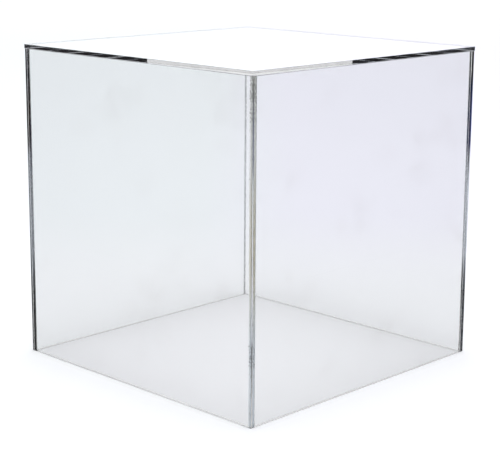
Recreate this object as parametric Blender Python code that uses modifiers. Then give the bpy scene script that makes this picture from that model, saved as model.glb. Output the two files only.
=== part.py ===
"""A clear acrylic display cube: a top panel cemented over four walls, open underneath.

Lengths are in metres and +Z is up. The origin is the centre of the open bottom, on the surface
that the cube stands on, and the front is towards -Y. The front and back walls run the full width,
and the left and right walls fit between them. A thin film of cured cement fills each joint.
"""

import bmesh
import bpy
from mathutils import Vector

# Driving dimensions
CUBE_SIDE = 0.300       # outside, over the top panel
SHEET = 0.004           # thickness of every acrylic sheet
OVERHANG = 0.0004       # how far the top panel stands proud of the walls, all round
JOINT = 0.0003          # space between two sheets at a joint
CEMENT = 0.0002         # thickness of the cured film in that space
CEMENT_INSET = 0.00035  # how far a film stops short of the sheets' faces and ends
EDGE_BREAK = 0.00025    # radius scraped along every edge of a sheet
EDGE_STEPS = 2          # facets around that radius

# Planes worked out from them, as distances from the middle or heights above the bottom
TOP_HALF = CUBE_SIDE / 2
WALL_OUTER = TOP_HALF - OVERHANG
WALL_INNER = WALL_OUTER - SHEET
SIDE_WALL_END = WALL_INNER - JOINT
TOP_UNDERSIDE = CUBE_SIDE - SHEET
WALL_TOP = TOP_UNDERSIDE - JOINT
FILM_CLEARANCE = (JOINT - CEMENT) / 2

# Which way each wall stands from the middle
FRONT_AND_BACK = (("front", -1), ("back", 1))
LEFT_AND_RIGHT = (("left", -1), ("right", 1))

ACRYLIC = {"colour": (0.88, 0.94, 0.95, 1.0), "roughness": 0.03, "metallic": 0.0, "ior": 1.49}
CURED_CEMENT = {"colour": (0.62, 0.65, 0.68, 1.0), "roughness": 0.35, "metallic": 0.0, "ior": 1.48}


def clear_scene():
    """Removes whatever the open scene holds."""
    for item in list(bpy.data.objects):
        bpy.data.objects.remove(item, do_unlink=True)


def make_collection(name):
    """A new collection in the scene."""
    collection = bpy.data.collections.new(name)
    bpy.context.scene.collection.children.link(collection)
    return collection


def make_material(name, look):
    """A clear Principled material with the given look."""
    material = bpy.data.materials.new(name)
    material.use_nodes = True
    shader = material.node_tree.nodes["Principled BSDF"]
    shader.inputs["Base Color"].default_value = look["colour"]
    shader.inputs["Roughness"].default_value = look["roughness"]
    shader.inputs["Metallic"].default_value = look["metallic"]
    shader.inputs["IOR"].default_value = look["ior"]
    shader.inputs["Transmission Weight"].default_value = 1.0
    return material


def make_block(collection, name, low, high, look):
    """A block between two corners, with its origin at its centre."""
    low = Vector(low)
    high = Vector(high)
    mesh = bpy.data.meshes.new(name)
    shape = bmesh.new()
    bmesh.ops.create_cube(shape, size=1.0)
    bmesh.ops.scale(shape, vec=high - low, verts=shape.verts)
    shape.to_mesh(mesh)
    shape.free()
    mesh.materials.append(make_material(name, look))
    block = bpy.data.objects.new(name, mesh)
    block.location = (low + high) / 2
    collection.objects.link(block)
    return block


def make_sheet(collection, name, low, high):
    """A sheet of acrylic with its edges scraped round."""
    sheet = make_block(collection, name, low, high, ACRYLIC)
    scrape = sheet.modifiers.new("edge_break", "BEVEL")
    scrape.width = EDGE_BREAK
    scrape.segments = EDGE_STEPS
    scrape.limit_method = "NONE"
    return sheet


def make_film(collection, name, low, high):
    """The film of cured cement between two sheets."""
    return make_block(collection, name, low, high, CURED_CEMENT)


def span(side, near, far):
    """The lower and upper end of a stretch from near to far on one side of the middle."""
    return sorted((side * near, side * far))


def make_top_panel(collection):
    """The sheet that lies over all four walls."""
    low = (-TOP_HALF, -TOP_HALF, TOP_UNDERSIDE)
    high = (TOP_HALF, TOP_HALF, CUBE_SIDE)
    make_sheet(collection, "top_panel", low, high)


def make_walls(collection):
    """Two full-width walls, and two that fit between them."""
    for name, side in FRONT_AND_BACK:
        y_low, y_high = span(side, WALL_INNER, WALL_OUTER)
        low = (-WALL_OUTER, y_low, 0.0)
        high = (WALL_OUTER, y_high, WALL_TOP)
        make_sheet(collection, name + "_panel", low, high)
    for name, side in LEFT_AND_RIGHT:
        x_low, x_high = span(side, WALL_INNER, WALL_OUTER)
        low = (x_low, -SIDE_WALL_END, 0.0)
        high = (x_high, SIDE_WALL_END, WALL_TOP)
        make_sheet(collection, name + "_panel", low, high)


def make_corner_films(collection):
    """Cement in the four upright joints, between a side wall's end and a full-width wall's face."""
    for name_y, side_y in FRONT_AND_BACK:
        for name_x, side_x in LEFT_AND_RIGHT:
            x_low, x_high = span(side_x, WALL_INNER + CEMENT_INSET, WALL_OUTER - CEMENT_INSET)
            y_low, y_high = span(side_y, SIDE_WALL_END + FILM_CLEARANCE, WALL_INNER - FILM_CLEARANCE)
            low = (x_low, y_low, CEMENT_INSET)
            high = (x_high, y_high, WALL_TOP - CEMENT_INSET)
            make_film(collection, f"cement_{name_y}_{name_x}", low, high)


def make_top_films(collection):
    """Cement in the four level joints, between each wall's upper rim and the top panel."""
    z_low = WALL_TOP + FILM_CLEARANCE
    z_high = TOP_UNDERSIDE - FILM_CLEARANCE
    full_run = WALL_OUTER - CEMENT_INSET
    short_run = SIDE_WALL_END - CEMENT_INSET
    for name, side in FRONT_AND_BACK:
        y_low, y_high = span(side, WALL_INNER + CEMENT_INSET, WALL_OUTER - CEMENT_INSET)
        make_film(collection, f"cement_top_{name}", (-full_run, y_low, z_low), (full_run, y_high, z_high))
    for name, side in LEFT_AND_RIGHT:
        x_low, x_high = span(side, WALL_INNER + CEMENT_INSET, WALL_OUTER - CEMENT_INSET)
        make_film(collection, f"cement_top_{name}", (x_low, -short_run, z_low), (x_high, short_run, z_high))


def main():
    clear_scene()
    cube = make_collection("acrylic_display_cube")
    make_top_panel(cube)
    make_walls(cube)
    make_corner_films(cube)
    make_top_films(cube)


main()
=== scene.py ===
"""The look of a clear acrylic display cube: polished sheets, cemented joints, and a plain white studio.

Lengths are in metres, +Z is up and the front is towards -Y, as in the CAD. A name that ends in SPAN
holds the start and the end of a smooth step.
"""

import math
import random

import bmesh
import bpy
from mathutils import Matrix, Vector


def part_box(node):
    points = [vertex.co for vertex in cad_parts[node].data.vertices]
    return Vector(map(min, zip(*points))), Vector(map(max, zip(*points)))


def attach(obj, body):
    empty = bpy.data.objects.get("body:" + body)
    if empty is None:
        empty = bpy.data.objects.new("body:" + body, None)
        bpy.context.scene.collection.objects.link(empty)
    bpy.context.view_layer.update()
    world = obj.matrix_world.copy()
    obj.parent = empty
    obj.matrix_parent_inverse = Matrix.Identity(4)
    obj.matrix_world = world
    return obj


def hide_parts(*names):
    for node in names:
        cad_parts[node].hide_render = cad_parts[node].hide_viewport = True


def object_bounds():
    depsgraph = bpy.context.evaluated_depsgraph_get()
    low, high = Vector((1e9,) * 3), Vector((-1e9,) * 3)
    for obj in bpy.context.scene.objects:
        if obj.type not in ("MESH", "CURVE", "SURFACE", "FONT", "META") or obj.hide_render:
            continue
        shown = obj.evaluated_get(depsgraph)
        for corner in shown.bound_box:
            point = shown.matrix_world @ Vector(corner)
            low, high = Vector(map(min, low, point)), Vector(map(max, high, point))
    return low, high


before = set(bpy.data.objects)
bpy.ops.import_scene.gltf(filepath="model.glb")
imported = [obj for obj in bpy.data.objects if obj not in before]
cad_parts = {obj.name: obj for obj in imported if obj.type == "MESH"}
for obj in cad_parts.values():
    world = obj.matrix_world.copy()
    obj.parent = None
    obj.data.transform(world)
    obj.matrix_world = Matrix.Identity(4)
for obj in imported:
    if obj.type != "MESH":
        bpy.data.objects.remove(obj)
CAD_LOW, CAD_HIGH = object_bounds()
CENTRE = (CAD_LOW + CAD_HIGH) / 2
SIDE = CAD_HIGH.z - CAD_LOW.z

# The camera, as an orbit round the cube's centre. Its distances are in cube sides.
CAMERA_AZIMUTH = math.radians(44.26)
CAMERA_ELEVATION = math.radians(11.95)
CAMERA_ROLL = math.radians(0.38)
CAMERA_DISTANCE = 4.481
CAMERA_RIGHT = 0.0029
CAMERA_UP = -0.0053
LENS_MM = 100.5
SHIFT_Y = -0.05
CLIP_NEAR = 0.05
CLIP_FAR = 50

# The sheets, by name, and the CAD panels that they stand for
SHEETS = {
    "top_sheet": "top_panel",
    "front_sheet": "front_panel",
    "back_sheet": "back_panel",
    "left_sheet": "left_panel",
    "right_sheet": "right_panel",
}
EDGE_BREAK = 0.00012            # radius scraped along the edges of a sheet
EDGE_STEPS = 2                  # facets around that radius
SHARP = math.radians(30)        # edges that bend more than this are scraped
SQUARE = 0.99                   # a face whose normal reaches this far along an axis is square to it
CUT_CLEARANCE = 0.001           # no cut is made nearer than this to a sheet's own faces
BOND_REACH = 0.0006             # a face this near a neighbouring sheet is cemented to it
BOND_PROBE = 0.0001             # how far outside a face that is tested
BONDED_SLOT = 1                 # places in a sheet's list of materials; 0 is the polished one
CUT_SLOT = 2

# The cement
CEMENT_GROWTH = 0.00015         # how far it spreads past its CAD film, towards the sheets' edges
HAZE_SLOT = 0                   # places in a film's list of materials
SKIN_SLOT = 1
MILKY_JOINT = "cement_front_right"
MILKY_WALL = "front_panel"
MILKY_FOOT = 0.0014             # how far its run-out cement grips that wall's inner face
MILKY_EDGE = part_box("right_panel")[0].x
MILKY_SMEAR = 0.0024            # how far cement has run out along a wall at the top of this joint
CLEAN_SMEAR = 0.0010            # and at the top of the others

# Cement that has run out of an upright joint
SMEAR_THICKNESS = 0.00008
SMEAR_GAP = 0.00025             # from the narrower wall
SMEAR_LIFT = 0.00003            # from the full-width wall
SMEAR_STEPS = 90
SMEAR_SHOULDER = 0.8            # share of its reach where its thin edge starts
SMEAR_AT_FOOT = 0.45            # share of its greatest reach at the joint's foot
SMEAR_GAIN = 0.55               # and what it gains towards the top
SMEAR_STEADY = 0.75             # share of its reach that doesn't wave
SMEAR_WAVY = 0.25
WAVE_MIDDLE = 0.5
SLOW_SHARE = 0.3                # of the waves' height
FAST_SHARE = 0.2
SLOW_WAVE = 31                  # radians over the height of the joint
FAST_WAVE = 83
GREATEST_PHASE = 6

# Bubbles in the cement. Shares are of the joint's length or width.
BUBBLE_HALF_DEPTH = 0.00007
BUBBLE_TRIES = 900
MOST_BUBBLES = 260
SMALL_RADII = (0.00012, 0.00035)
SWOLLEN_FROM = 0.85             # draws above this give a bubble that is SWOLLEN times as wide
SWOLLEN = 1.6
BUBBLE_STRETCH = (0.8, 1.4)     # length over width
SIDE_MARGIN = 1.1               # radii that stay free at a joint's sides
END_MARGIN = 1.5                # and at its ends
SPACING = 1.45                  # distance between two bubbles, over the sum of their radii
CHANCE = 0.25                   # of a bubble in most of the joint
END_CHANCE = 0.9                # what the crowded end adds
END_START = 0.8
END_LENGTH = 0.2
ROW_CHANCE = 1.2                # what the row a fifth of the way along adds
ROW_MIDDLE = 0.2
ROW_SPREAD = 0.03

# The milky joint's row of large bubbles, in a zigzag
LARGE_BUBBLES = 12
LARGE_RADII = (0.00038, 0.0005)
ROW_START = 0.178
ROW_LENGTH = 0.062
ROW_JITTER = 0.4                # in steps of the row
ROW_SIDES = (0.66, 0.34)
ROW_WOBBLE = 0.02

# Materials
ACRYLIC_IOR = 1.49
CEMENT_IOR = 1.48
BONDED_IOR = 1.0                # lets light cross a cemented face as if it weren't there
CLEAN_FACE = (0.980, 0.984, 0.984, 1.0)
SMUDGED_FACE = (0.945, 0.945, 0.943, 1.0)
SMUDGE_SPAN = (0.56, 0.74)
WIPE_BEND = (0.05, 0.05, 0.05)
WIPE_TURN = (0.5, 0.4, 0.3)
WIPE_SQUEEZE = (900.0, 14.0, 14.0)
WIPE_SPAN = (0.79, 0.87)
WIPE_ROUGHNESS = 0.03
BUFFED_EDGE = (0.98, 0.985, 0.985, 1.0)
WORN_EDGE = (0.84, 0.85, 0.85, 1.0)
WORN_SPAN = (0.40, 0.66)
ROUGH_EDGE_SPAN = (0.45, 0.75)
ROUGH_EDGE = 0.04
MARK_DEPTH = 0.00001            # of wipe marks and saw marks
CEMENT_NOISE_SPAN = (0.35, 0.65)
CLEAN_CEMENT_DULL = (0.46, 0.46, 0.45, 1.0)
CLEAN_CEMENT_BRIGHT = (0.76, 0.77, 0.78, 1.0)
CLEAN_CEMENT_ROUGHNESS = (0.0, 0.05)
SKIN_DULL = (0.80, 0.80, 0.76, 1.0)
SKIN_BRIGHT = (0.97, 0.97, 0.96, 1.0)
SKIN_ROUGHNESS = (0.04, 0.30)
SKIN_DEPTH = 0.0001

# The milky cement. Its spans are heights above the floor, except where a comment says otherwise.
MILKY_CLARITY = 0.4
MILKY_ROUGHNESS = 0.3
MILKY_GREY = (0.50, 0.50, 0.47, 1.0)
MILKY_LOW = (0.92, 0.96, 1.00, 1.0)
MILKY_MIDDLE = (0.80, 0.76, 0.62, 1.0)
MILKY_HIGH = (0.94, 0.94, 0.90, 1.0)
MILKY_MIDDLE_SPAN = (0.06, 0.15)
MILKY_HIGH_SPAN = (0.16, 0.24)
GATHERED_SPAN = (0.24, 0.29)
GREY_BELOW = (0.28, 0.42)       # noise under this is grey: low in the joint, and at its top
MOTTLE_SPAN = (0.02, 0.16)      # of the noise over that
SPOT = (0.03, 0.03, 0.04, 1.0)
SPOT_SPAN = (0.28, 0.42)        # of the distance from a cell's middle
SPOTS_START_SPAN = (0.050, 0.054)
SPOTS_END_SPAN = (0.070, 0.074)

# Directions in the studio. The backdrop stands behind the cube as the photographer sees it.
RIGHT_WAY = (math.cos(CAMERA_AZIMUTH), math.sin(CAMERA_AZIMUTH), 0.0)
BACKDROP_WAY = (-math.sin(CAMERA_AZIMUTH), math.cos(CAMERA_AZIMUTH), 0.0)
BACKDROP_SPAN = (0.38, 0.60)    # cosines of the angle from its middle, from its edge inwards

# The paper as it is seen directly or through the sheets, with painted shade and painted light on it
FLOOR_RADIUS = 8.0
FLOOR_CORNERS = 96
FLOOR_DROP = 0.0002             # how far it lies under the cube
PAPER_ROUGHNESS = 0.8
PAPER = (0.950, 0.940, 0.925, 1.0)
PAPER_SHADED_INSIDE = (0.880, 0.866, 0.855, 1.0)       # painted shade inside the walls
PAPER_SHADE_LEFT = (0.885, 0.900, 0.885, 1.0)         # painted shade behind the cube, tinted
PAPER_SHADE_RIGHT = (0.900, 0.876, 0.920, 1.0)
# painted light: the paper far behind the cube is made brighter
PAINTED_FAR_LIGHT = (0.955, 0.945, 0.925, 1.0)
RIM_SHADOW = (0.80, 0.79, 0.79, 1.0)             # a painted contact shadow on the line where the walls stand on it
PAPER_HAND_SPAN = (-0.1, 0.1)                   # from the left to the right of the camera's line
PAPER_BEHIND_SPAN = (0.15, 0.7)
PAINTED_FAR_LIGHT_SPAN = (2.8, 5.5)
RIM_MIDDLE = (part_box("front_panel")[0].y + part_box("front_panel")[1].y) / -2
PAST_RIM_SPAN = (-0.002, 0.002)
RIM_SHADOW_SPAN = (0.0012, 0.0024)

# The paper's painted glow, as reflections see it in place of its lit colour, by the distance from the
# cube's middle
REFLECTED_GLOW = (0.012, 0.012, 0.012, 1.0)
DARK_GLOW = (0.003, 0.002, 0.003, 1.0)
# painted light round the cube, for piped light
PIPED_GLOW = (0.66, 0.70, 0.78, 1.0)
DIM_WHITE = (0.74, 0.74, 0.75, 1.0)             # the backdrop's, too, for piped light; on the paper it is a painted glow
ROOM_GLOW_LEFT = (0.002, 0.020, 0.14, 1.0)
ROOM_GLOW_RIGHT = (0.050, 0.026, 0.004, 1.0)
ROOM_HAND_SPAN = (-0.2, 0.2)
REFLECTED_SPAN = (0.35, 0.6)    # light reflected once sees it glow white from here on, towards the backdrop
NEAR_SPAN = (0.19, 0.26)        # piped light sees a painted pool of light from here on
LIT_SPAN = (0.80, 1.05)         # as far as this
TINT_SPAN = (1.3, 2.2)          # then as a painted dark room, tinted as far as this
BEHIND_SPAN = (2.2, 2.5)        # and glowing white from here on, towards the backdrop
BLACK = (0, 0, 0, 1)

# The softbox
SOFTBOX_SIZE = 2.4
SOFTBOX_WATTS = 5.0
SOFTBOX_HEIGHT = 2.3

# The studio's walls. Heights are the sines of a direction's angle above the horizon.
WALL_LEFT = (1.00, 1.05, 1.08, 1.0)
WALL_RIGHT = (1.02, 1.02, 1.11, 1.0)
WALL_HAND_SPAN = (-0.12, 0.12)
BRIGHTER_SPAN = (0.0, 0.16)
STRENGTH_LOW = 1.0
STRENGTH_MIDDLE = 1.35
DIMMER_SPAN = (0.25, 0.6)
STRENGTH_DROP = -0.27
DARK_LEFT = (0.001, 0.003, 0.010, 1.0)
DARK_RIGHT = (0.004, 0.003, 0.002, 1.0)
PALE_WALL = (0.75, 0.75, 0.76, 1.0)
PALE_SPAN = (0.12, 0.17)
PIPED_RISE = 0.25               # how much higher the pale wall starts for piped light
CEILING = (0.1, 0.1, 0.1, 1.0)
CEILING_PIPED = (0.01, 0.01, 0.01, 1.0)
CEILING_SPAN = (0.3, 0.6)
UPPER_BACKDROP = (0.75, 0.75, 0.75, 1.0)
UPPER_SPAN = (0.14, 0.20)

# Light paths
CLEAR_BOUNCES = 96
DIFFUSE_BOUNCES = 4

# The colour sockets of a Mix node, whose names are shared by its other kinds of data
MIX_FIRST = 6
MIX_SECOND = 7
MIX_RESULT = 2


# --- Small helpers ---------------------------------------------------------------------------

def link(item):
    """Puts an object in the scene."""
    bpy.context.scene.collection.objects.link(item)
    return item


def new_object(name, shape, materials):
    """An object made from a bmesh, which is freed."""
    mesh = bpy.data.meshes.new(name)
    shape.to_mesh(mesh)
    shape.free()
    for material in materials:
        mesh.materials.append(material)
    return link(bpy.data.objects.new(name, mesh))


def new_box(low, high):
    """A bmesh box between two corners."""
    shape = bmesh.new()
    bmesh.ops.create_cube(shape, size=1.0)
    bmesh.ops.scale(shape, vec=high - low, verts=shape.verts)
    bmesh.ops.translate(shape, vec=(low + high) / 2, verts=shape.verts)
    return shape


def stand_for(piece, node):
    """Puts a piece in a CAD node's place."""
    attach(piece, "root")
    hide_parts(node)


class Nodes:
    """A short way to add and join a tree's nodes."""

    def __init__(self, tree):
        self.tree = tree

    def feed(self, value, socket):
        """Links another socket to this one, or sets this one to a value."""
        if isinstance(value, bpy.types.NodeSocket):
            self.tree.links.new(value, socket)
        else:
            socket.default_value = value

    def add(self, kind, operation=None, **values):
        """A new node, with values for its inputs by name."""
        node = self.tree.nodes.new(kind)
        if operation:
            node.operation = operation
        for key, value in values.items():
            self.feed(value, node.inputs[key])
        return node

    def math(self, operation, first, second=0.0):
        """The result of a sum on one or two numbers."""
        node = self.add("ShaderNodeMath", operation)
        for socket, value in zip(node.inputs, (first, second)):
            self.feed(value, socket)
        return node.outputs[0]

    def smooth(self, value, span, at_start, at_end):
        """A smooth step from at_start to at_end as value runs over a span."""
        node = self.add("ShaderNodeMapRange", Value=value)
        node.interpolation_type = "SMOOTHSTEP"
        node.inputs["From Min"].default_value = span[0]
        node.inputs["From Max"].default_value = span[1]
        node.inputs["To Min"].default_value = at_start
        node.inputs["To Max"].default_value = at_end
        return node.outputs[0]

    def rise(self, value, span):
        """A smooth step from 0 to 1."""
        return self.smooth(value, span, 0.0, 1.0)

    def fall(self, value, span):
        """A smooth step from 1 to 0."""
        return self.smooth(value, span, 1.0, 0.0)

    def blend(self, amount, first, second):
        """A mix of two colours: the first where amount is 0, and the second where it is 1."""
        node = self.tree.nodes.new("ShaderNodeMix")
        node.data_type = "RGBA"
        self.feed(amount, node.inputs["Factor"])
        self.feed(first, node.inputs[MIX_FIRST])
        self.feed(second, node.inputs[MIX_SECOND])
        return node.outputs[MIX_RESULT]

    def place(self):
        """A point's place on its object."""
        return self.add("ShaderNodeTexCoord").outputs["Object"]

    def noise(self, place, **values):
        """A noise texture's grey, with its settings by name."""
        return self.add("ShaderNodeTexNoise", Vector=place, **values).outputs["Fac"]

    def height(self, vector):
        """How far a vector reaches upwards."""
        return self.add("ShaderNodeSeparateXYZ", Vector=vector).outputs["Z"]

    def extent(self, vector, way):
        """How far a vector reaches in a given direction."""
        product = self.add("ShaderNodeVectorMath", "DOT_PRODUCT")
        self.feed(vector, product.inputs[0])
        self.feed(way, product.inputs[1])
        return product.outputs["Value"]


# --- Materials -------------------------------------------------------------------------------

def clear_material(name, ior, roughness=0.0):
    """A clear, colourless Principled material, its nodes and its shader's inputs."""
    material = bpy.data.materials.new(name)
    material.use_nodes = True
    inputs = material.node_tree.nodes["Principled BSDF"].inputs
    inputs["Base Color"].default_value = (1.0, 1.0, 1.0, 1.0)
    inputs["Roughness"].default_value = roughness
    inputs["IOR"].default_value = ior
    inputs["Transmission Weight"].default_value = 1.0
    return material, Nodes(material.node_tree), inputs


def make_polished():
    """The faces of a sheet: flawless but for the dust film and wipe marks of handling."""
    material, nodes, inputs = clear_material("acrylic_polished", ACRYLIC_IOR)
    place = nodes.place()
    cloud = nodes.noise(place, Scale=16.0, Detail=3.0, Roughness=0.6)
    smudge = nodes.rise(cloud, SMUDGE_SPAN)
    nodes.feed(nodes.blend(smudge, CLEAN_FACE, SMUDGED_FACE), inputs["Base Color"])

    # Hair-thin wipe marks, bent a little by a slower noise
    bend = nodes.add("ShaderNodeTexNoise", Vector=place, Scale=9.0, Detail=1.0)
    bent = nodes.add("ShaderNodeVectorMath", "MULTIPLY_ADD")
    for value, socket in zip((bend.outputs["Color"], WIPE_BEND, place), bent.inputs):
        nodes.feed(value, socket)
    bent = bent.outputs["Vector"]
    squeezed = nodes.add("ShaderNodeMapping", Vector=bent, Rotation=WIPE_TURN, Scale=WIPE_SQUEEZE)
    hairs = nodes.noise(squeezed.outputs["Vector"], Scale=1.0, Detail=2.0)
    marks = nodes.rise(hairs, WIPE_SPAN)
    nodes.feed(nodes.math("MULTIPLY", marks, WIPE_ROUGHNESS), inputs["Roughness"])
    bump = nodes.add("ShaderNodeBump", Height=marks, Strength=0.03, Distance=MARK_DEPTH)
    nodes.feed(bump.outputs[0], inputs["Normal"])
    return material


def make_cut():
    """The sawn, scraped and buffed edges of a sheet, with fine marks along them."""
    material, nodes, inputs = clear_material("acrylic_cut", ACRYLIC_IOR)
    place = nodes.place()
    streaks = nodes.noise(place, Scale=2600.0, Detail=1.0)
    worn = nodes.noise(place, Scale=110.0, Detail=4.0, Roughness=0.65)
    patches = nodes.rise(worn, WORN_SPAN)
    nodes.feed(nodes.blend(patches, BUFFED_EDGE, WORN_EDGE), inputs["Base Color"])
    nodes.feed(nodes.smooth(worn, ROUGH_EDGE_SPAN, 0.0, ROUGH_EDGE), inputs["Roughness"])
    bump = nodes.add("ShaderNodeBump", Height=streaks, Strength=0.05, Distance=MARK_DEPTH)
    nodes.feed(bump.outputs[0], inputs["Normal"])
    return material


def large_bubble_spots(nodes, place, height):
    """1 in the dark spots that the row of large bubbles shows as, else 0."""
    cells = nodes.add("ShaderNodeTexVoronoi", Vector=place, Scale=650.0)
    spot = nodes.fall(cells.outputs["Distance"], SPOT_SPAN)
    above = nodes.rise(height, SPOTS_START_SPAN)
    below = nodes.fall(height, SPOTS_END_SPAN)
    return nodes.math("MULTIPLY", spot, nodes.math("MULTIPLY", above, below))


def make_cement_milky():
    """Cement that cured milky: mottled with grey, most of all at the top, where most of it gathered."""
    material, nodes, inputs = clear_material("cement_milky", BONDED_IOR, MILKY_ROUGHNESS)
    inputs["Transmission Weight"].default_value = MILKY_CLARITY
    place = nodes.place()
    height = nodes.height(place)
    noise = nodes.noise(place, Scale=600.0, Detail=4.0)
    grey_below = nodes.smooth(height, GATHERED_SPAN, *GREY_BELOW)
    amount = nodes.rise(nodes.math("SUBTRACT", noise, grey_below), MOTTLE_SPAN)
    upper = nodes.blend(nodes.rise(height, MILKY_HIGH_SPAN), MILKY_MIDDLE, MILKY_HIGH)
    pale = nodes.blend(nodes.rise(height, MILKY_MIDDLE_SPAN), MILKY_LOW, upper)
    mottled = nodes.blend(amount, MILKY_GREY, pale)
    spotted = nodes.blend(large_bubble_spots(nodes, place, height), mottled, SPOT)
    nodes.feed(spotted, inputs["Base Color"])
    return material


def make_cement_clean():
    """Cement that cured clear, and only dims what is seen through it."""
    material, nodes, inputs = clear_material("cement_clean", BONDED_IOR)
    noise = nodes.noise(nodes.place(), Scale=300.0, Detail=3.0)
    nodes.feed(nodes.blend(noise, CLEAN_CEMENT_DULL, CLEAN_CEMENT_BRIGHT), inputs["Base Color"])
    nodes.feed(nodes.smooth(noise, CEMENT_NOISE_SPAN, *CLEAN_CEMENT_ROUGHNESS), inputs["Roughness"])
    return material


def make_cement_skin():
    """The skin of the cement at a joint's sides, in its bubbles, and where it has run on to a sheet."""
    material, nodes, inputs = clear_material("cement_clear", CEMENT_IOR)
    noise = nodes.noise(nodes.place(), Scale=420.0, Detail=4.0)
    nodes.feed(nodes.blend(noise, SKIN_DULL, SKIN_BRIGHT), inputs["Base Color"])
    nodes.feed(nodes.smooth(noise, CEMENT_NOISE_SPAN, *SKIN_ROUGHNESS), inputs["Roughness"])
    bump = nodes.add("ShaderNodeBump", Height=noise, Strength=0.4, Distance=SKIN_DEPTH)
    nodes.feed(bump.outputs[0], inputs["Normal"])
    return material


# --- The sheets ------------------------------------------------------------------------------

def near_boxes(node):
    """The boxes of the other sheets, grown by BOND_REACH."""
    grow = Vector((BOND_REACH,) * 3)
    boxes = []
    for other in SHEETS.values():
        if other != node:
            low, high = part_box(other)
            boxes.append((low - grow, high + grow))
    return boxes


def inside(point, box):
    """Whether a point is in a box."""
    low, high = box
    return all(low[i] <= point[i] <= high[i] for i in range(3))


def cut_planes(node, low, high):
    """Where this sheet's faces are divided, as (axis, position) pairs: at the neighbours' faces, and
    on the milky joint's wall at the edge of the cement that has run out."""
    planes = set()
    for other in SHEETS.values():
        if other == node:
            continue
        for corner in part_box(other):
            for axis in range(3):
                if low[axis] + CUT_CLEARANCE < corner[axis] < high[axis] - CUT_CLEARANCE:
                    planes.add((axis, round(corner[axis], 5)))
    planes = sorted(planes)
    if node == MILKY_WALL:
        planes.append((0, MILKY_EDGE - MILKY_FOOT))
    return planes


def divide(shape, planes):
    """Cuts a shape's faces along planes."""
    for axis, position in planes:
        normal = Vector((0, 0, 0))
        normal[axis] = 1.0
        bmesh.ops.bisect_plane(
            shape,
            geom=shape.verts[:] + shape.edges[:] + shape.faces[:],
            plane_co=normal * position,
            plane_no=normal,
        )


def scrape(shape):
    """Rounds a shape's sharp edges."""
    rim = [edge for edge in shape.edges if edge.calc_face_angle() > SHARP]
    bmesh.ops.bevel(
        shape,
        geom=rim,
        offset=EDGE_BREAK,
        offset_type="OFFSET",
        segments=EDGE_STEPS,
        profile=0.5,
        affect="EDGES",
    )


def wetted(node, centre, normal):
    """Whether this part of a sheet is under the milky cement that has run out."""
    in_foot = MILKY_EDGE - MILKY_FOOT < centre.x < MILKY_EDGE
    return node == MILKY_WALL and normal.y > SQUARE and in_foot


def cemented(centre, normal, boxes):
    """Whether this part of a sheet is cemented to a neighbour."""
    square = max(abs(part) for part in normal) > SQUARE
    return square and any(inside(centre + normal * BOND_PROBE, box) for box in boxes)


def assign_materials(shape, node, low, high):
    """Gives each face of a sheet its place in the list of materials."""
    boxes = near_boxes(node)
    thin = min(range(3), key=lambda axis: high[axis] - low[axis])
    for face in shape.faces:
        centre = face.calc_center_median()
        if cemented(centre, face.normal, boxes) or wetted(node, centre, face.normal):
            face.material_index = BONDED_SLOT
        elif abs(face.normal[thin]) < SQUARE:
            face.material_index = CUT_SLOT


def make_sheet(name, node, materials):
    """A closed sheet of acrylic. It takes the polished, the bonded and the cut material."""
    low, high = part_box(node)
    shape = new_box(low, high)
    divide(shape, cut_planes(node, low, high))
    scrape(shape)
    assign_materials(shape, node, low, high)
    bmesh.ops.recalc_face_normals(shape, faces=shape.faces)
    stand_for(new_object(name, shape, materials), node)


# --- The cement ------------------------------------------------------------------------------

def large_bubble_sites(draw, run, width):
    """Places and radii of the milky joint's row of large bubbles."""
    sites = []
    for step in range(LARGE_BUBBLES):
        share = ROW_START + ROW_LENGTH * (step + ROW_JITTER * draw.random()) / LARGE_BUBBLES
        across = width * (ROW_SIDES[step % 2] + draw.uniform(-ROW_WOBBLE, ROW_WOBBLE))
        sites.append((run * share, across, draw.uniform(*LARGE_RADII)))
    return sites


def bubble_chance(share):
    """How likely a bubble is at this share of a joint's length."""
    in_end = max(0.0, (share - END_START) / END_LENGTH)
    in_row = math.exp(-((share - ROW_MIDDLE) / ROW_SPREAD) ** 2)
    return CHANCE + END_CHANCE * in_end + ROW_CHANCE * in_row


def has_room(site, sites):
    """Whether a bubble keeps clear of the others."""
    for other in sites:
        if math.hypot(site[0] - other[0], site[1] - other[1]) <= SPACING * (site[2] + other[2]):
            return False
    return True


def bubble_sites(draw, run, width, large):
    """Places and radii of the bubbles in a joint, as (along, across, radius), without overlaps."""
    sites = large_bubble_sites(draw, run, width) if large else []
    for _ in range(BUBBLE_TRIES):
        share = draw.random()
        if draw.random() > bubble_chance(share):
            continue
        radius = draw.uniform(*SMALL_RADII)
        if draw.random() > SWOLLEN_FROM:
            radius *= SWOLLEN
        margin = SIDE_MARGIN * radius
        site = (share * run, draw.uniform(margin, width - margin), radius)
        between_ends = END_MARGIN * radius < site[0] < run - END_MARGIN * radius
        if between_ends and has_room(site, sites):
            sites.append(site)
        if len(sites) >= MOST_BUBBLES:
            break
    return sites


def ball_template():
    """The points and faces of a ball of radius 1, with its faces turned inwards."""
    ball = bmesh.new()
    bmesh.ops.create_icosphere(ball, subdivisions=2, radius=1.0)
    ball.verts.index_update()
    points = [vert.co.copy() for vert in ball.verts]
    faces = [[vert.index for vert in reversed(face.verts)] for face in ball.faces]
    ball.free()
    return points, faces


def add_bubble(shape, ball, middle, radii):
    """A flat cavity in the cement."""
    points, faces = ball
    verts = [shape.verts.new(middle + point * radii) for point in points]
    for corners in faces:
        face = shape.faces.new([verts[i] for i in corners])
        face.material_index = SKIN_SLOT
        face.smooth = True


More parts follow.
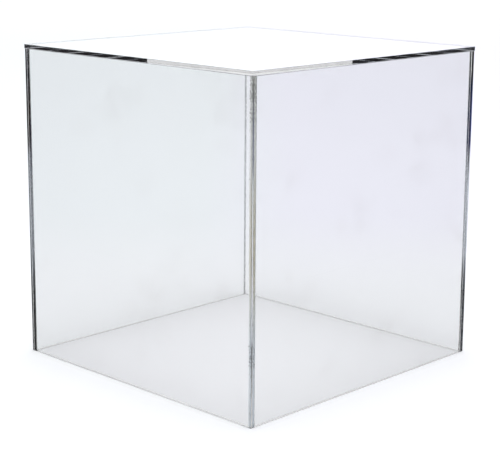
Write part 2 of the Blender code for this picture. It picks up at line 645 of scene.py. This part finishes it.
def smear_reach(share, phase, most):
    """How far run-out cement reaches at this share of a joint's height: in waves, and more at the top."""
    slow = SLOW_SHARE * math.sin(SLOW_WAVE * share + phase)
    fast = FAST_SHARE * math.sin(FAST_WAVE * share + 2 * phase)
    wave = WAVE_MIDDLE + slow + fast
    return most * (SMEAR_AT_FOOT + SMEAR_GAIN * share ** 2) * (SMEAR_STEADY + SMEAR_WAVY * wave)


def add_smear(shape, low, high, milky, draw):
    """Cement that has run out of an upright joint and dried on the full-width wall's inner face. If it
    is milky, the side against the wall is hazy."""
    most = MILKY_SMEAR if milky else CLEAN_SMEAR
    toward_x = -1 if low.x > 0 else 1
    toward_y = 1 if low.y < 0 else -1
    edge_x = low.x if low.x > 0 else high.x
    edge_x += toward_x * SMEAR_GAP
    inner_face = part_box("front_panel")[1].y if low.y < 0 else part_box("back_panel")[0].y
    near_y = inner_face + toward_y * SMEAR_LIFT
    phase = draw.uniform(0, GREATEST_PHASE)
    rows = []
    for step in range(SMEAR_STEPS + 1):
        share = step / SMEAR_STEPS
        reach = smear_reach(share, phase, most)
        z = low.z + share * (high.z - low.z)
        outline = (
            (0.0, 0.0),
            (reach, 0.0),
            (SMEAR_SHOULDER * reach, SMEAR_THICKNESS),
            (0.0, 2 * SMEAR_THICKNESS),
        )
        rows.append([
            shape.verts.new((edge_x + toward_x * out, near_y + toward_y * up, z)) for out, up in outline
        ])
    faces = [shape.faces.new(rows[0]), shape.faces.new(rows[-1])]
    for face in faces:
        face.material_index = SKIN_SLOT
    for lower, upper in zip(rows, rows[1:]):
        for i in range(4):
            j = (i + 1) % 4
            face = shape.faces.new((lower[i], lower[j], upper[j], upper[i]))
            face.material_index = HAZE_SLOT if milky and i == 0 else SKIN_SLOT
            faces.append(face)
    bmesh.ops.recalc_face_normals(shape, faces=faces)


def make_cement(node, haze, skin, ball, seed):
    """A film of cured cement with flat bubbles in it."""
    low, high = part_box(node)
    size = high - low
    thin = min(range(3), key=lambda axis: size[axis])
    run = max(range(3), key=lambda axis: size[axis])
    wide = 3 - thin - run
    for axis in (run, wide):
        low[axis] -= CEMENT_GROWTH
        high[axis] += CEMENT_GROWTH
    size = high - low
    shape = new_box(low, high)
    for face in shape.faces:
        face.material_index = HAZE_SLOT if abs(face.normal[thin]) > SQUARE else SKIN_SLOT
    milky = node == MILKY_JOINT
    draw = random.Random(seed)
    for along, across, radius in bubble_sites(draw, size[run], size[wide], milky):
        radii = Vector((0, 0, 0))
        radii[thin] = BUBBLE_HALF_DEPTH
        radii[run] = radius * draw.uniform(*BUBBLE_STRETCH)
        radii[wide] = radius
        middle = (low + high) / 2
        middle[run] = low[run] + along
        middle[wide] = low[wide] + across
        add_bubble(shape, ball, middle, radii)
    upright = run == 2
    if upright:
        add_smear(shape, low, high, milky, draw)
    film = new_object(node.replace("cement", "bond"), shape, (haze, skin))
    stand_for(film, node)


# --- The studio ------------------------------------------------------------------------------

def make_camera():
    """A camera on its orbit, aimed a little off the cube's centre."""
    cos_elevation = math.cos(CAMERA_ELEVATION)
    back = Vector((
        math.sin(CAMERA_AZIMUTH) * cos_elevation,
        -math.cos(CAMERA_AZIMUTH) * cos_elevation,
        math.sin(CAMERA_ELEVATION),
    ))
    turn = back.to_track_quat("Z", "Y").to_matrix() @ Matrix.Rotation(CAMERA_ROLL, 3, "Z")
    right, up = turn.col[0], turn.col[1]
    data = bpy.data.cameras.new("camera")
    data.lens = LENS_MM
    data.shift_y = SHIFT_Y
    data.clip_start = CLIP_NEAR
    data.clip_end = CLIP_FAR
    camera = link(bpy.data.objects.new("camera", data))
    camera.matrix_world = turn.to_4x4()
    camera.location = CENTRE + SIDE * (
        back * CAMERA_DISTANCE + right * CAMERA_RIGHT + up * CAMERA_UP
    )
    bpy.context.scene.camera = camera


def reflections(nodes, least):
    """1 for light that has been reflected at least so many times on its way, else 0."""
    bounces = nodes.add("ShaderNodeLightPath").outputs["Glossy Depth"]
    return nodes.math("GREATER_THAN", bounces, least - 0.5)


def reflected(nodes):
    """1 for light that has been reflected, else 0."""
    return reflections(nodes, 1)


def piped(nodes):
    """1 for light that has run along inside a sheet, which takes two reflections or more, else 0."""
    return reflections(nodes, 2)


def beside_backdrop(nodes, direction):
    """0 towards the backdrop and 1 in other directions."""
    return nodes.fall(nodes.extent(direction, BACKDROP_WAY), BACKDROP_SPAN)


def seen_paper(nodes, place, distance):
    """The paper's white, with faint tints and painted shade behind the cube, painted light far behind it,
    painted shade inside the walls and a painted contact shadow in a line under them.
    """
    hand = nodes.rise(nodes.extent(place, RIGHT_WAY), PAPER_HAND_SPAN)
    # Painted shade behind the cube, tinted greener to the left and pinker to the right
    shade_and_far_light = nodes.blend(hand, PAPER_SHADE_LEFT, PAPER_SHADE_RIGHT)
    # Painted light, brighter far off
    shade_and_far_light = nodes.blend(nodes.rise(distance, PAINTED_FAR_LIGHT_SPAN), shade_and_far_light, PAINTED_FAR_LIGHT)
    behind = nodes.rise(nodes.extent(place, BACKDROP_WAY), PAPER_BEHIND_SPAN)
    outside = nodes.blend(behind, PAPER, shade_and_far_light)
    flat = nodes.add("ShaderNodeVectorMath", "ABSOLUTE", Vector=place).outputs["Vector"]
    split = nodes.add("ShaderNodeSeparateXYZ", Vector=flat)
    from_middle = nodes.math("MAXIMUM", split.outputs["X"], split.outputs["Y"])
    past_rim = nodes.math("SUBTRACT", from_middle, RIM_MIDDLE)
    # Painted shade on the paper inside the walls
    white = nodes.blend(nodes.rise(past_rim, PAST_RIM_SPAN), PAPER_SHADED_INSIDE, outside)
    # A painted contact shadow in a line under the walls
    rim_shadow = nodes.fall(nodes.math("ABSOLUTE", past_rim), RIM_SHADOW_SPAN)
    return nodes.blend(rim_shadow, white, RIM_SHADOW)


def painted_reflection_glow(nodes, place, distance):
    """What reflections see: a painted glow of a dark room's floor, white in places towards the backdrop.
    Light that is piped along inside a sheet also sees a painted pool of light round the cube."""
    direction = nodes.add("ShaderNodeVectorMath", "NORMALIZE", Vector=place).outputs["Vector"]
    beside = beside_backdrop(nodes, direction)
    hand = nodes.rise(nodes.extent(direction, RIGHT_WAY), ROOM_HAND_SPAN)
    room = nodes.blend(hand, ROOM_GLOW_LEFT, ROOM_GLOW_RIGHT)
    room = nodes.blend(nodes.rise(distance, TINT_SPAN), room, DARK_GLOW)
    behind = nodes.blend(nodes.rise(distance, BEHIND_SPAN), room, DIM_WHITE)
    far = nodes.blend(beside, behind, room)
    near = nodes.blend(nodes.rise(distance, NEAR_SPAN), DARK_GLOW, PIPED_GLOW)
    many_times = nodes.blend(nodes.fall(distance, LIT_SPAN), far, near)
    away = nodes.rise(distance, REFLECTED_SPAN)
    bright = nodes.math("MULTIPLY", away, nodes.math("SUBTRACT", 1.0, beside))
    once = nodes.blend(bright, REFLECTED_GLOW, DIM_WHITE)
    return nodes.blend(piped(nodes), once, many_times)


def make_floor():
    """White paper, with painted shade and painted light on it. It glows by itself for reflections, a
    painted reflection, so that they don't depend on what lights it.
    """
    shape = bmesh.new()
    bmesh.ops.create_circle(shape, cap_ends=True, radius=FLOOR_RADIUS, segments=FLOOR_CORNERS)
    material = bpy.data.materials.new("floor_paper")
    material.use_nodes = True
    nodes = Nodes(material.node_tree)
    inputs = material.node_tree.nodes["Principled BSDF"].inputs
    inputs["Roughness"].default_value = PAPER_ROUGHNESS
    place = nodes.place()
    distance = nodes.add("ShaderNodeVectorMath", "LENGTH", Vector=place).outputs["Value"]
    glow = reflected(nodes)
    # Reflections see black paper with a painted glow, in place of its lit colour
    nodes.feed(nodes.blend(glow, seen_paper(nodes, place, distance), BLACK), inputs["Base Color"])
    nodes.feed(painted_reflection_glow(nodes, place, distance), inputs["Emission Color"])
    nodes.feed(glow, inputs["Emission Strength"])
    floor = new_object("floor", shape, (material,))
    floor.location.z = -FLOOR_DROP


def make_softbox():
    """A wide, even light over the cube."""
    data = bpy.data.lights.new("softbox", "AREA")
    data.shape = "SQUARE"
    data.size = SOFTBOX_SIZE
    data.energy = SOFTBOX_WATTS
    softbox = link(bpy.data.objects.new("softbox", data))
    softbox.location = (0, 0, SOFTBOX_HEIGHT)


def studio_white(nodes, height, hand):
    """The white of the backdrop and of all that is seen directly: a trace greener to the left and pinker
    to the right, and dimmer to reflections."""
    white = nodes.blend(hand, WALL_LEFT, WALL_RIGHT)
    upper = nodes.blend(nodes.rise(height, UPPER_SPAN), white, UPPER_BACKDROP)
    once = nodes.blend(reflected(nodes), white, upper)
    return nodes.blend(piped(nodes), once, DIM_WHITE)


def studio_dark(nodes, height, hand):
    """The room round the backdrop: dark low down, then a pale wall, and a dark ceiling over it."""
    level = nodes.math("SUBTRACT", height, nodes.math("MULTIPLY", piped(nodes), PIPED_RISE))
    low_wall = nodes.blend(hand, DARK_LEFT, DARK_RIGHT)
    wall = nodes.blend(nodes.rise(level, PALE_SPAN), low_wall, PALE_WALL)
    ceiling = nodes.blend(piped(nodes), CEILING, CEILING_PIPED)
    return nodes.blend(nodes.rise(height, CEILING_SPAN), wall, ceiling)


def make_studio():
    """White all round. Only reflections see the dark room round the backdrop."""
    world = bpy.data.worlds.new("studio")
    bpy.context.scene.world = world
    world.use_nodes = True
    world.node_tree.nodes.clear()
    nodes = Nodes(world.node_tree)
    direction = nodes.add("ShaderNodeTexCoord").outputs["Generated"]
    height = nodes.height(direction)
    hand = nodes.rise(nodes.extent(direction, RIGHT_WAY), WALL_HAND_SPAN)
    room = nodes.math("MULTIPLY", beside_backdrop(nodes, direction), reflected(nodes))
    colour = nodes.blend(room, studio_white(nodes, height, hand), studio_dark(nodes, height, hand))
    rising = nodes.smooth(height, BRIGHTER_SPAN, STRENGTH_LOW, STRENGTH_MIDDLE)
    falling = nodes.smooth(height, DIMMER_SPAN, 0.0, STRENGTH_DROP)
    strength = nodes.math("ADD", rising, falling)
    background = nodes.add("ShaderNodeBackground", Color=colour, Strength=strength)
    output = nodes.add("ShaderNodeOutputWorld")
    nodes.feed(background.outputs[0], output.inputs[0])


def set_light_paths():
    """Enough bounces for light to run the length of a sheet, and plain whites."""
    scene = bpy.context.scene
    scene.cycles.max_bounces = CLEAR_BOUNCES
    scene.cycles.glossy_bounces = CLEAR_BOUNCES
    scene.cycles.transmission_bounces = CLEAR_BOUNCES
    scene.cycles.diffuse_bounces = DIFFUSE_BOUNCES
    scene.cycles.blur_glossy = 0.0
    scene.view_settings.view_transform = "Standard"


polished = make_polished()
cut = make_cut()
bonded, _, _ = clear_material("acrylic_bonded", BONDED_IOR)
for name, node in SHEETS.items():
    make_sheet(name, node, (polished, bonded, cut))
milky = make_cement_milky()
clean = make_cement_clean()
skin = make_cement_skin()
ball = ball_template()
for seed, node in enumerate(sorted(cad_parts)):
    if node.startswith("cement"):
        make_cement(node, milky if node == MILKY_JOINT else clean, skin, ball, seed)
make_camera()
make_floor()
make_softbox()
make_studio()
set_light_paths()
